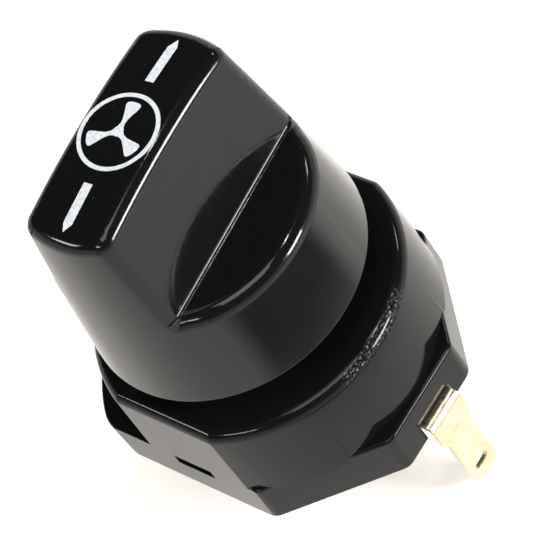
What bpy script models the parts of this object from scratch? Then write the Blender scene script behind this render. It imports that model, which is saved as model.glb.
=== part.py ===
"""Panel-mount rotary fan switch: push-on knob, threaded bushing, indexed rotor and three blade terminals.

The origin is on the knob's axis in the plane that the panel seats against (the housing's top face).
+Z runs out through the knob, +X points to the single terminal, and +Y runs along the knob's grip.
"""
import math

import bmesh
import bpy
from mathutils import Matrix, Vector

MM = 0.001
GAP = 0.3 * MM                      # clearance between touching pieces
LONG = 1.0 * MM                     # how far a cutter runs past the wall it cuts

# ---- knob -------------------------------------------------------------------------------------
KNOB_RADIUS = 19.5 * MM             # at the skirt's bottom edge
KNOB_BOTTOM = 4.9 * MM              # above the panel seat
KNOB_HEIGHT = 32.1 * MM             # bottom edge to the crown of the grip
KNOB_TOP_RADIUS = 15.8 * MM         # of the tapered envelope, at the crown's height
KNOB_TURN = math.radians(4.2)       # the knob sits this much round from square on its spindle
BOSS_TOP = KNOB_BOTTOM + 15.4 * MM  # flat shoulders each side of the grip
GRIP_HALF_AT_BOSS = 9.0 * MM        # half width of the grip where it meets the shoulders
GRIP_HALF_AT_TOP = 6.5 * MM
CROWN_RADIUS = 115.0 * MM           # the grip's top is arched along its length
KNOB_WALL = 2.4 * MM
HUB_RADIUS = 6.0 * MM
HUB_BOTTOM = 10.4 * MM
RECESS_TOP = 16.4 * MM
BORE_TOP = 27.0 * MM
GRIP_POCKET_MARGIN = 1.2 * MM       # solid plastic left between the hub, the pockets and the wall
CLIP_SLOT_HALF = 2.3 * MM
CLIP_SLOT_DEPTH = 3.9 * MM          # outer wall of the spring clip's slot from the axis
CLIP_SLOT_TOP = 23.0 * MM
CLIP_LOW = 11.5 * MM
CLIP_HIGH = 21.5 * MM
CLIP_END = 2.35 * MM                # the clip's ends from the axis
CLIP_BOW = 2.75 * MM                # the clip's middle from the axis
CLIP_THICKNESS = 0.4 * MM
CLIP_HALF_WIDTH = 2.0 * MM

# ---- housing ----------------------------------------------------------------------------------
STEP_RADIUS = 22.0 * MM
STEP_CENTRE = 0.4 * MM              # the moulding's round sits this far towards +X of the bushing
STEP_FLAT = 20.5 * MM               # half distance across the two flats
STEP_BOTTOM = -12.6 * MM
HOUSING_BOTTOM = -19.8 * MM
FLANGE_RADIUS = 26.0 * MM
FLANGE_FRONT = 23.7 * MM            # the face that the single terminal leaves through
FLANGE_DIAGONAL = 22.0 * MM
FLANGE_FLAT = 20.75 * MM
FLANGE_CORNER = 2.2 * MM
FLANGE_BACK_CORNER = 6.0 * MM       # where the round back runs into the side flats
STEP_CORNER = 1.5 * MM
ROOF = 2.5 * MM
CAVITY_RADIUS = 19.7 * MM
CAVITY_FLAT = 18.3 * MM
ROUND_SEGMENTS = 72

# ---- bushing, nut, spindle --------------------------------------------------------------------
THREAD_RADIUS = 6.0 * MM
BUSHING_TOP = 8.5 * MM
BUSHING_FLANGE_RADIUS = 9.5 * MM
BUSHING_FLANGE = 1.5 * MM
SEAL_POCKET_RADIUS = 5.0 * MM
SEAL_POCKET_DEPTH = 2.05 * MM
SEAL_RING = 4.0 * MM
SEAL_WIRE = 0.65 * MM
WASHER_THICKNESS = 0.8 * MM
WASHER_RADIUS = 9.4 * MM
WASHER_TEETH = 14
TOOTH_LENGTH = 1.1 * MM
NUT_ACROSS_FLATS = 17.0 * MM
NUT_HEIGHT = 2.8 * MM
NUT_TURN = 11                       # degrees, where the nut happens to stop
NUT_CHAMFER_ACROSS = 0.9 * MM
NUT_CHAMFER_DOWN = 1.1 * MM
HAIR = 0.01 * MM                    # keeps a cutter's edge off the face that it meets
SPINDLE_RADIUS = 3.0 * MM
SPINDLE_TOP = 26.0 * MM
SPINDLE_BOTTOM = -16.6 * MM
SPINDLE_FLAT = 2.0 * MM             # the flat's distance from the axis
SPINDLE_FLAT_BOTTOM = 11.5 * MM
SHOULDER_RADIUS = 4.5 * MM
SHOULDER = 1.5 * MM
CLIP_GROOVE = 0.7 * MM
CLIP_GROOVE_WIDTH = 1.1 * MM
CLIP_GROOVE_ABOVE_BUSHING = 0.2 * MM
EDGE_CHAMFER = 0.5 * MM
CIRCLIP_THICKNESS = 0.7 * MM
CIRCLIP_RADIUS = 4.6 * MM
CIRCLIP_OPENING = math.radians(80)

# ---- rotor and index --------------------------------------------------------------------------
THRUST_WASHER_RADIUS = 6.0 * MM
THRUST_WASHER = 0.6 * MM
ROTOR_RADIUS = 13.5 * MM
ROTOR_HEIGHT = 7.0 * MM
INDEX_ANGLE = 45                    # degrees from one position to the next
INDEX_BORE = 14.3 * MM
INDEX_RING_BOTTOM = -10.4 * MM
BALL_RADIUS = 1.5 * MM
BALL_SEAT = 12.5 * MM               # ball's centre from the axis, pressed in between two notches
BALL_TRAVEL = 0.8 * MM
BALL_HEIGHT = -8.2 * MM
BALL_POCKET = 1.8 * MM
BALL_POCKET_BOTTOM = 6.4 * MM
STOP_RADIUS = 15.9 * MM
STOP_HALF_ANGLE = 12                # degrees
STOP_POCKET_HALF_ANGLE = 60         # degrees
STOP_POCKET_RADIUS = 16.4 * MM
STOP_TOP = -8.7 * MM
STOP_BOTTOM = -10.1 * MM
STOP_POCKET_TOP = -8.4 * MM
INDEX_RING_INSET = 0.4 * MM
DETENT_COIL = 1.1 * MM
DETENT_WIRE = 0.22 * MM
DETENT_SPRING_SHORT = 0.1 * MM      # room between the spring and its ball

# ---- contacts ---------------------------------------------------------------------------------
PEG_CIRCLE = 6.9 * MM
PEG_RADIUS = 0.9 * MM
SPRING_POCKET_RADIUS = 5.2 * MM
SPRING_POCKET_TOP = -10.2 * MM
BRIDGE_TOP = -14.7 * MM
BRIDGE_THICKNESS = 0.8 * MM
BRIDGE_HUB = 9.0 * MM
BRIDGE_ARM = 11.9 * MM
BRIDGE_WIDE_ARM = 52                # degrees each side, stays on the line contact at every position
BRIDGE_NARROW_ARM = 11              # degrees each side, reaches a speed contact at each end position
CONTACT_CIRCLE = 9.9 * MM
CONTACT_HEAD = 2.1 * MM
CONTACT_SHANK = 1.0 * MM
CONTACT_HEIGHT = 0.8 * MM
CONTACT_CROWN = 0.5 * MM
CONTACT_RIM = 0.4 * MM
CONTACT_COIL = 4.25 * MM
CONTACT_WIRE = 0.35 * MM

# ---- terminals and rear cover -----------------------------------------------------------------
STRIP_TOP = -16.9 * MM
STRIP = 0.8 * MM
BEND_RADIUS = 1.2 * MM              # of the bend's outer face
BLADE_WIDE = 6.3 * MM
BLADE_WIDTH = 4.9 * MM
BLADE_SHOULDER = -21.7 * MM
BLADE_TIP = -33.5 * MM
BLADE_NOSE = 1.9 * MM
BLADE_SHOULDER_RUN = 0.9 * MM
BLADE_HOLE = -30.5 * MM
BLADE_HOLE_RADIUS = 0.75 * MM
BLADE_HOLE_SPREAD = 1.1 * MM
FRONT_BLADE = 25.3 * MM             # outer face of the single blade from the axis
BACK_BLADE = 27.5 * MM              # outer face of the paired blades from the axis
BACK_SPACING = 7.0 * MM
FRONT_OFFSET = 0.5 * MM
COVER_TOP = -18.0 * MM
COVER_BOTTOM = -19.5 * MM
LATCH_LEFT = -3.9 * MM
LATCH_RIGHT = 2.5 * MM
LATCH_TOP = -12.7 * MM
LATCH_BOTTOM = -14.6 * MM
NOTCH_START = 15.0 * MM             # inner end of the terminals' notches from the axis
HOOK_LEG = 1.3 * MM
HOOK_REACH = 1.4 * MM
HOOK_NOSE = 0.9 * MM


# ---- tools ------------------------------------------------------------------------------------
def clear_scene():
    for item in list(bpy.data.objects):
        bpy.data.objects.remove(item, do_unlink=True)


def make_material(name, colour, roughness, metallic=0.0):
    material = bpy.data.materials.new(name)
    material.use_nodes = True
    shader = material.node_tree.nodes["Principled BSDF"]
    shader.inputs["Base Color"].default_value = (*colour, 1.0)
    shader.inputs["Roughness"].default_value = roughness
    shader.inputs["Metallic"].default_value = metallic
    return material


def put_in_scene(name, shape, material):
    """Turn a bmesh into a scene object with one material, its normals facing out."""
    bmesh.ops.remove_doubles(shape, verts=shape.verts, dist=1e-7)
    bmesh.ops.recalc_face_normals(shape, faces=shape.faces)
    mesh = bpy.data.meshes.new(name)
    shape.to_mesh(mesh)
    shape.free()
    mesh.shade_smooth()
    mesh.set_sharp_from_angle(angle=math.radians(30))
    piece = bpy.data.objects.new(name, mesh)
    bpy.context.scene.collection.objects.link(piece)
    if material:
        mesh.materials.append(material)
    return piece


def as_tool(piece):
    """Mark a piece as a cutter or guide, which is no part of the switch."""
    piece.hide_render = True
    piece.display_type = "WIRE"
    return piece


def combine(target, shape, operation):
    tool = as_tool(put_in_scene("tool_" + target.name, shape, None))
    change = target.modifiers.new(operation.title(), "BOOLEAN")
    change.operation = operation
    change.solver = "EXACT"
    change.object = tool


def cut(target, shape):
    combine(target, shape, "DIFFERENCE")


def add(target, shape):
    combine(target, shape, "UNION")


def turned(profile, segments=ROUND_SEGMENTS):
    """Revolve a closed (radius, height) outline about Z."""
    shape = bmesh.new()
    ring = [shape.verts.new((radius, 0, height)) for radius, height in profile]
    edges = []
    for before, after in zip(ring, ring[1:] + ring[:1]):
        if before.co.x > 0 or after.co.x > 0:
            edges.append(shape.edges.new((before, after)))
    bmesh.ops.spin(shape, geom=ring + edges, cent=(0, 0, 0), axis=(0, 0, 1),
                   angle=math.tau, steps=segments, use_merge=True)
    bmesh.ops.remove_doubles(shape, verts=shape.verts, dist=1e-6)
    bmesh.ops.dissolve_degenerate(shape, edges=shape.edges, dist=1e-7)
    return shape


def prism(outline, bottom, top):
    """Extrude a flat outline of (x, y) points between two heights."""
    shape = bmesh.new()
    face = shape.faces.new([shape.verts.new((x, y, bottom)) for x, y in outline])
    raised = bmesh.ops.extrude_face_region(shape, geom=[face])["geom"]
    corners = [item for item in raised if isinstance(item, bmesh.types.BMVert)]
    bmesh.ops.translate(shape, verts=corners, vec=(0, 0, top - bottom))
    bmesh.ops.recalc_face_normals(shape, faces=shape.faces)
    return shape


def block(low, high):
    outline = [(low[0], low[1]), (high[0], low[1]), (high[0], high[1]), (low[0], high[1])]
    return prism(outline, low[2], high[2])


def arc(centre, radius, start, end, steps):
    """Points along an arc, angles in degrees."""
    angles = [math.radians(start + (end - start) * i / steps) for i in range(steps + 1)]
    return [(centre[0] + radius * math.cos(a), centre[1] + radius * math.sin(a)) for a in angles]


def circle(centre, radius, steps):
    return arc(centre, radius, 0, 360, steps)[:-1]


def move(shape, matrix):
    bmesh.ops.transform(shape, matrix=matrix, verts=shape.verts)
    return shape


def round_upright_edges(shape, radius, sharper_than, on_side, segments=4):
    """Bevel the vertical edges on one side whose faces meet at more than the given angle."""
    picked = []
    for edge in shape.edges:
        run = edge.verts[1].co - edge.verts[0].co
        upright = abs(run.z) > 0.99 * run.length
        sharp = edge.calc_face_angle(0) > math.radians(sharper_than)
        if upright and sharp and on_side(edge.verts[0].co.x):
            picked.append(edge)
    bmesh.ops.bevel(shape, geom=picked, offset=radius, segments=segments, profile=0.5,
                    affect="EDGES", material=-1)
    return shape


def clipped_disc(radius, planes, bottom, top, corner, centre=(0, 0), back_corner=None):
    """A disc cut by upright planes, each (angle in degrees, distance), with its corners rounded."""
    shape = prism(circle(centre, radius, ROUND_SEGMENTS), bottom, top)
    for angle, distance in planes:
        outward = Vector((math.cos(math.radians(angle)), math.sin(math.radians(angle)), 0))
        everything = shape.verts[:] + shape.edges[:] + shape.faces[:]
        section = bmesh.ops.bisect_plane(shape, geom=everything, plane_co=outward * distance,
                                         plane_no=outward, clear_outer=True, dist=1e-7)
        rim = [item for item in section["geom_cut"] if isinstance(item, bmesh.types.BMEdge)]
        bmesh.ops.contextual_create(shape, geom=rim)
        bmesh.ops.recalc_face_normals(shape, faces=shape.faces)
    round_upright_edges(shape, back_corner or corner, 12, lambda x: x < 0)
    return round_upright_edges(shape, corner, 12, lambda x: x > 0)


def coil(radius, wire, bottom, top, turns, steps=14, sides=6):
    """A closed helical spring wire about Z."""
    shape = bmesh.new()
    rings = []
    for i in range(turns * steps + 1):
        angle = math.tau * i / steps
        height = bottom + wire + (top - bottom - 2 * wire) * i / (turns * steps)
        outward = Vector((math.cos(angle), math.sin(angle), 0))
        middle = outward * radius + Vector((0, 0, height))
        ring = []
        for side in range(sides):
            around = math.tau * side / sides
            offset = outward * math.cos(around) + Vector((0, 0, 1)) * math.sin(around)
            ring.append(shape.verts.new(middle + offset * wire))
        rings.append(ring)
    for first, second in zip(rings, rings[1:]):
        for side in range(sides):
            after = (side + 1) % sides
            shape.faces.new((first[side], first[after], second[after], second[side]))
    shape.faces.new(rings[0])
    shape.faces.new(rings[-1])
    bmesh.ops.recalc_face_normals(shape, faces=shape.faces)
    return shape


# ---- knob group -------------------------------------------------------------------------------
def make_knob(plastic):
    top = KNOB_BOTTOM + KNOB_HEIGHT
    blank = top + LONG
    envelope = [(0, blank), (KNOB_TOP_RADIUS, blank), (KNOB_RADIUS, KNOB_BOTTOM), (0, KNOB_BOTTOM)]
    knob = put_in_scene("knob", turned(envelope), plastic)

    # crown: everything above an arc that runs along the grip is taken off
    half = KNOB_RADIUS + LONG
    spread = math.degrees(math.asin(half / CROWN_RADIUS))
    crown = arc((0, top - CROWN_RADIUS), CROWN_RADIUS, 90 + spread, 90 - spread, 12)
    crown += [(half, blank + LONG), (-half, blank + LONG)]
    across = prism(crown, -half, half)
    cut(knob, move(across, Matrix(((0, 0, 1, 0), (1, 0, 0, 0), (0, 1, 0, 0), (0, 0, 0, 1)))))

    # grip sides: two wedges leave a tapered bar standing on flat shoulders
    lean = (GRIP_HALF_AT_BOSS - GRIP_HALF_AT_TOP) / (top - BOSS_TOP)
    above = blank + LONG
    inner_top = GRIP_HALF_AT_TOP - lean * (above - top)
    for side in (-1, 1):
        wedge = [(side * GRIP_HALF_AT_BOSS, BOSS_TOP), (side * half, BOSS_TOP),
                 (side * half, above), (side * inner_top, above)]
        shape = prism(wedge, -half, half)
        cut(knob, move(shape, Matrix(((1, 0, 0, 0), (0, 0, 1, 0), (0, 1, 0, 0), (0, 0, 0, 1)))))

    # hollow underside with a hub round the spindle's bore
    inside = KNOB_RADIUS - KNOB_WALL
    below = KNOB_BOTTOM - LONG
    hollow = [(0, HUB_BOTTOM), (HUB_RADIUS, HUB_BOTTOM), (HUB_RADIUS, RECESS_TOP),
              (inside - KNOB_WALL / 2, RECESS_TOP), (inside, below), (0, below)]
    cut(knob, turned(hollow))
    for side in (-1, 1):
        near, far = sorted((side * (HUB_RADIUS + GRIP_POCKET_MARGIN),
                            side * (KNOB_TOP_RADIUS - KNOB_WALL - GRIP_POCKET_MARGIN)))
        pocket_half = GRIP_HALF_AT_TOP - KNOB_WALL
        cut(knob, block((-pocket_half, near, RECESS_TOP - LONG), (pocket_half, far, top - 2 * KNOB_WALL)))
    cut(knob, prism(circle((0, 0), SPINDLE_RADIUS + GAP, 32), HUB_BOTTOM - LONG, BORE_TOP))
    cut(knob, block((SPINDLE_FLAT, -CLIP_SLOT_HALF, HUB_BOTTOM - LONG),
                    (CLIP_SLOT_DEPTH, CLIP_SLOT_HALF, CLIP_SLOT_TOP)))
    knob.rotation_euler.z = KNOB_TURN
    carry_tools(knob)


def carry_tools(piece):
    """Parent a turned piece's cutters to it, so that they turn with it."""
    for change in piece.modifiers:
        if change.type == "BOOLEAN":
            change.object.parent = piece


def make_knob_spring_clip(steel):
    """Bowed leaf that grips the spindle's flat inside the hub."""
    face = [(CLIP_END, CLIP_LOW), (CLIP_BOW, (CLIP_LOW + CLIP_HIGH) / 2), (CLIP_END, CLIP_HIGH)]
    back = [(x + CLIP_THICKNESS, z) for x, z in reversed(face)]
    shape = prism(face + back, -CLIP_HALF_WIDTH, CLIP_HALF_WIDTH)
    move(shape, Matrix(((1, 0, 0, 0), (0, 0, 1, 0), (0, 1, 0, 0), (0, 0, 0, 1))))
    clip = put_in_scene("knob_spring_clip", shape, steel)
    clip.rotation_euler.z = KNOB_TURN


def make_spindle(steel):
    under_bushing = -ROOF - GAP - BUSHING_FLANGE
    shoulder_top = under_bushing - GAP - THRUST_WASHER - GAP
    groove_low = BUSHING_TOP + CLIP_GROOVE_ABOVE_BUSHING
    groove_high = groove_low + CLIP_GROOVE_WIDTH
    groove_radius = SPINDLE_RADIUS - CLIP_GROOVE
    chamfer = EDGE_CHAMFER
    profile = [(0, SPINDLE_TOP), (SPINDLE_RADIUS - chamfer, SPINDLE_TOP),
               (SPINDLE_RADIUS, SPINDLE_TOP - chamfer), (SPINDLE_RADIUS, groove_high),
               (groove_radius, groove_high), (groove_radius, groove_low),
               (SPINDLE_RADIUS, groove_low), (SPINDLE_RADIUS, shoulder_top),
               (SHOULDER_RADIUS, shoulder_top), (SHOULDER_RADIUS, shoulder_top - SHOULDER),
               (SPINDLE_RADIUS, shoulder_top - SHOULDER), (SPINDLE_RADIUS, SPINDLE_BOTTOM + chamfer),
               (SPINDLE_RADIUS - chamfer, SPINDLE_BOTTOM), (0, SPINDLE_BOTTOM)]
    spindle = put_in_scene("spindle", turned(profile, 40), steel)
    reach = SPINDLE_RADIUS + LONG
    cut(spindle, block((SPINDLE_FLAT, -reach, SPINDLE_FLAT_BOTTOM), (reach, reach, SPINDLE_TOP + LONG)))
    spindle.rotation_euler.z = KNOB_TURN
    carry_tools(spindle)


def make_circlip(steel):
    bottom = BUSHING_TOP + CLIP_GROOVE_ABOVE_BUSHING + (CLIP_GROOVE_WIDTH - CIRCLIP_THICKNESS) / 2
    half = math.degrees(CIRCLIP_OPENING) / 2
    bore = SPINDLE_RADIUS - CLIP_GROOVE + GAP
    outline = arc((0, 0), CIRCLIP_RADIUS, half, 360 - half, 32)
    outline += arc((0, 0), bore, 360 - half, half, 32)
    put_in_scene("spindle_circlip", prism(outline, bottom, bottom + CIRCLIP_THICKNESS), steel)


# ---- fixed metalwork at the neck --------------------------------------------------------------
def make_bushing(brass):
    bore = SPINDLE_RADIUS + GAP
    flange_top = -ROOF - GAP
    flange_bottom = flange_top - BUSHING_FLANGE
    pocket = BUSHING_TOP - SEAL_POCKET_DEPTH
    profile = [(SEAL_POCKET_RADIUS, BUSHING_TOP), (THREAD_RADIUS - EDGE_CHAMFER, BUSHING_TOP),
               (THREAD_RADIUS, BUSHING_TOP - EDGE_CHAMFER), (THREAD_RADIUS, flange_top),
               (BUSHING_FLANGE_RADIUS, flange_top), (BUSHING_FLANGE_RADIUS, flange_bottom),
               (bore, flange_bottom), (bore, pocket), (SEAL_POCKET_RADIUS, pocket)]
    put_in_scene("threaded_bushing", turned(profile, 48), brass)


def make_o_ring(rubber):
    middle = BUSHING_TOP - SEAL_POCKET_DEPTH + GAP + SEAL_WIRE
    profile = [(r, z + middle) for r, z in circle((SEAL_RING, 0), SEAL_WIRE, 8)]
    put_in_scene("spindle_o_ring", turned(profile, 32), rubber)


def make_lock_washer(steel):
    inner = THREAD_RADIUS + GAP
    root = inner + TOOTH_LENGTH
    outline = circle((0, 0), WASHER_RADIUS, 56)
    washer = put_in_scene("lock_washer", prism(outline, GAP, GAP + WASHER_THICKNESS), steel)
    star = []
    pitch = 360 / WASHER_TEETH
    for tooth in range(WASHER_TEETH):
        start = tooth * pitch
        star += arc((0, 0), inner, start, start + pitch * 0.5, 2)
        star += arc((0, 0), root, start + pitch * 0.6, start + pitch * 0.9, 2)
    cut(washer, prism(star, GAP - LONG, GAP + WASHER_THICKNESS + LONG))


def make_nut(brass):
    bottom = GAP + WASHER_THICKNESS + GAP
    top = bottom + NUT_HEIGHT
    corner = NUT_ACROSS_FLATS / math.sqrt(3)
    hexagon = arc((0, 0), corner, NUT_TURN, NUT_TURN + 360, 6)[:-1]
    nut = put_in_scene("panel_nut", prism(hexagon, bottom, top), brass)
    chamfered = corner - NUT_CHAMFER_ACROSS
    high = top + LONG
    ring = [(chamfered, top + HAIR), (corner + LONG, top - NUT_CHAMFER_DOWN), (corner + LONG, high),
            (chamfered, high)]
    cut(nut, turned(ring, 48))
    cut(nut, prism(circle((0, 0), THREAD_RADIUS + GAP, 48), bottom - LONG, top + LONG))


# ---- housing ----------------------------------------------------------------------------------
def cavity_shape(inset, bottom, top):
    flats = [(90, CAVITY_FLAT - inset), (270, CAVITY_FLAT - inset)]
    return clipped_disc(CAVITY_RADIUS - inset, flats, bottom, top, STEP_CORNER)


def make_housing(plastic):
    flats = [(90, STEP_FLAT), (270, STEP_FLAT)]
    step = clipped_disc(STEP_RADIUS, flats, STEP_BOTTOM - LONG, 0, STEP_CORNER, (STEP_CENTRE, 0))
    housing = put_in_scene("housing_shell", step, plastic)
    facets = [(90, FLANGE_FLAT), (270, FLANGE_FLAT), (0, FLANGE_FRONT),
              (45, FLANGE_DIAGONAL), (315, FLANGE_DIAGONAL)]
    add(housing, clipped_disc(FLANGE_RADIUS, facets, HOUSING_BOTTOM, STEP_BOTTOM, FLANGE_CORNER,
                              back_corner=FLANGE_BACK_CORNER))
    cut(housing, cavity_shape(0, HOUSING_BOTTOM - LONG, -ROOF))
    cut(housing, prism(circle((0, 0), THREAD_RADIUS + GAP, 48), -ROOF - LONG, LONG))

    # notches, open at the rim, where the terminals leave
    for start, end, middle in notch_places():
        low = (min(start, end), middle - BLADE_WIDE / 2 - GAP, HOUSING_BOTTOM - LONG)
        high = (max(start, end), middle + BLADE_WIDE / 2 + GAP, STRIP_TOP + GAP)
        cut(housing, block(low, high))

    # windows that the rear cover's hooks snap into
    for side in (-1, 1):
        span = sorted((side * (CAVITY_FLAT - LONG), side * (STEP_FLAT + LONG)))
        cut(housing, block((LATCH_LEFT, span[0], LATCH_BOTTOM), (LATCH_RIGHT, span[1], LATCH_TOP)))


def notch_places():
    """Start and end in X and middle in Y of each terminal's notch."""
    return [(NOTCH_START, FLANGE_FRONT + LONG, FRONT_OFFSET),
            (-NOTCH_START, -FLANGE_RADIUS - LONG, BACK_SPACING),
            (-NOTCH_START, -FLANGE_RADIUS - LONG, -BACK_SPACING)]


def make_index_ring(plastic):
    top = -ROOF - GAP
    ring = put_in_scene("index_ring", cavity_shape(INDEX_RING_INSET, INDEX_RING_BOTTOM, top), plastic)
    low, high = INDEX_RING_BOTTOM - LONG, top + LONG
    cut(ring, prism(circle((0, 0), INDEX_BORE, 64), low, high))
    notch = BALL_SEAT + BALL_TRAVEL
    for side in (90, 270):
        for position in (-1, 0, 1):
            angle = math.radians(side + position * INDEX_ANGLE)
            centre = (notch * math.cos(angle), notch * math.sin(angle))
            cut(ring, prism(circle(centre, BALL_RADIUS + GAP, 16), low, high))
    reach = STOP_POCKET_HALF_ANGLE
    pocket = arc((0, 0), STOP_POCKET_RADIUS, -reach, reach, 20)
    pocket += arc((0, 0), INDEX_BORE - LONG, reach, -reach, 20)
    cut(ring, prism(pocket, low, STOP_POCKET_TOP))


# ---- rotor group ------------------------------------------------------------------------------
def rotor_top():
    return -ROOF - GAP - BUSHING_FLANGE - GAP - THRUST_WASHER - GAP


def make_thrust_washer(fibre):
    top = rotor_top() + GAP + THRUST_WASHER
    bore = SPINDLE_RADIUS + GAP
    profile = [(THRUST_WASHER_RADIUS, top), (THRUST_WASHER_RADIUS, top - THRUST_WASHER),
               (bore, top - THRUST_WASHER), (bore, top)]
    put_in_scene("thrust_washer", turned(profile, 40), fibre)


def make_rotor(plastic):
    top = rotor_top()
    bottom = top - ROTOR_HEIGHT
    bore = SPINDLE_RADIUS + GAP
    seat = top - SHOULDER - GAP
    profile = [(SHOULDER_RADIUS + GAP, top), (ROTOR_RADIUS, top), (ROTOR_RADIUS, bottom),
               (SPRING_POCKET_RADIUS, bottom), (SPRING_POCKET_RADIUS, SPRING_POCKET_TOP),
               (bore, SPRING_POCKET_TOP), (bore, seat), (SHOULDER_RADIUS + GAP, seat)]
    rotor = put_in_scene("rotor", turned(profile), plastic)
    lug = arc((0, 0), STOP_RADIUS, -STOP_HALF_ANGLE, STOP_HALF_ANGLE, 4)
    lug += arc((0, 0), ROTOR_RADIUS - LONG, STOP_HALF_ANGLE, -STOP_HALF_ANGLE, 4)
    add(rotor, prism(lug, STOP_BOTTOM, STOP_TOP))
    for side in (-1, 1):
        peg = circle((0, side * PEG_CIRCLE), PEG_RADIUS, 16)
        add(rotor, prism(peg, BRIDGE_TOP - BRIDGE_THICKNESS / 2, bottom + LONG))
        pocket = prism(circle((0, 0), BALL_POCKET, 20), BALL_POCKET_BOTTOM, ROTOR_RADIUS + 3 * LONG)
        cut(rotor, move(pocket, along_y(side)))


def along_y(side):
    """Lay a shape made along Z out along +Y or -Y at the balls' height."""
    turn = Matrix.Rotation(math.radians(-90 * side), 4, "X")
    return Matrix.Translation((0, 0, BALL_HEIGHT)) @ turn


def make_detents(ball_steel, spring_steel):
    for number, side in enumerate((1, -1), start=1):
        shape = bmesh.new()
        bmesh.ops.create_uvsphere(shape, u_segments=20, v_segments=12, radius=BALL_RADIUS)
        move(shape, Matrix.Translation((0, side * BALL_SEAT, BALL_HEIGHT)))
        put_in_scene(f"detent_ball_{number}", shape, ball_steel)
        start = BALL_POCKET_BOTTOM + GAP
        end = BALL_SEAT - BALL_RADIUS - DETENT_SPRING_SHORT
        spring = coil(DETENT_COIL, DETENT_WIRE, start, end, 5, steps=12)
        put_in_scene(f"detent_spring_{number}", move(spring, along_y(side)), spring_steel)


def make_contact_spring(spring_steel):
    spring = coil(CONTACT_COIL, CONTACT_WIRE, BRIDGE_TOP + GAP, SPRING_POCKET_TOP - GAP, 3, steps=20)
    put_in_scene("contact_spring", spring, spring_steel)


def make_contact_bridge(copper):
    """Spring-loaded plate: a wide arm on the line contact and a narrow arm for the speed contacts."""
    wide, narrow = BRIDGE_WIDE_ARM, BRIDGE_NARROW_ARM
    outline = arc((0, 0), BRIDGE_ARM, -wide, wide, 16)
    outline += arc((0, 0), BRIDGE_HUB, wide, 180 - narrow, 16)
    outline += arc((0, 0), BRIDGE_ARM, 180 - narrow, 180 + narrow, 6)
    outline += arc((0, 0), BRIDGE_HUB, 180 + narrow, 360 - wide, 16)
    bottom = BRIDGE_TOP - BRIDGE_THICKNESS
    bridge = put_in_scene("contact_bridge", prism(outline, bottom, BRIDGE_TOP), copper)
    low, high = bottom - LONG, BRIDGE_TOP + LONG
    cut(bridge, prism(circle((0, 0), SPINDLE_RADIUS + GAP, 32), low, high))
    for side in (-1, 1):
        cut(bridge, prism(circle((0, side * PEG_CIRCLE), PEG_RADIUS + GAP, 16), low, high))


# ---- contacts, terminals, cover ---------------------------------------------------------------
def contact_places():
    """Centre of each fixed contact: the line contact in front, a speed contact each side behind."""
    places = []
    for angle in (0, 135, 225):
        middle = math.radians(angle)
        places.append((CONTACT_CIRCLE * math.cos(middle), CONTACT_CIRCLE * math.sin(middle)))
    return places


def make_contact_rivets(silver):
    head_bottom = STRIP_TOP + GAP
    head_top = head_bottom + CONTACT_HEIGHT
    profile = [(0, head_top), (CONTACT_HEAD - CONTACT_CROWN, head_top),
               (CONTACT_HEAD, head_bottom + CONTACT_RIM), (CONTACT_HEAD, head_bottom),
               (CONTACT_SHANK, head_bottom), (CONTACT_SHANK, COVER_BOTTOM + GAP), (0, COVER_BOTTOM + GAP)]
    for name, (x, y) in zip(("line", "low", "high"), contact_places()):
        shape = move(turned(profile, 24), Matrix.Translation((x, y, 0)))
        put_in_scene("contact_rivet_" + name, shape, silver)


def blade_outline(reach):
    """Flat pattern of a terminal: run from the rivet along +X, width along Y."""
    half, slim = BLADE_WIDE / 2, BLADE_WIDTH / 2
    flat_run = reach - BEND_RADIUS
    bend = math.pi / 2 * (BEND_RADIUS - STRIP / 2)
    shoulder = flat_run + bend + (STRIP_TOP - BEND_RADIUS - BLADE_SHOULDER)
    tip = flat_run + bend + (STRIP_TOP - BEND_RADIUS - BLADE_TIP)
    right = [(shoulder, half), (shoulder + BLADE_SHOULDER_RUN, slim)]
    right += arc((tip - BLADE_NOSE, slim - BLADE_NOSE), BLADE_NOSE, 90, 0, 6)
    left = [(x, -y) for x, y in reversed(right)]
    return right + left + arc((0, 0), half, 270, 90, 12)


def bend_down(shape, reach):
    """Fold the flat pattern down over the bend radius; its top becomes the blade's outer face."""
    flat_run = reach - BEND_RADIUS
    middle = BEND_RADIUS - STRIP / 2
    length = math.pi / 2 * middle
    for vertex in shape.verts:
        run, _, height = vertex.co
        if run <= flat_run:
            continue
        turn = min((run - flat_run) / middle, math.pi / 2)
        arm = BEND_RADIUS + (height - STRIP_TOP)
        vertex.co.x = flat_run + arm * math.sin(turn)
        vertex.co.z = STRIP_TOP - BEND_RADIUS + arm * math.cos(turn) - max(run - flat_run - length, 0)


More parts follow.
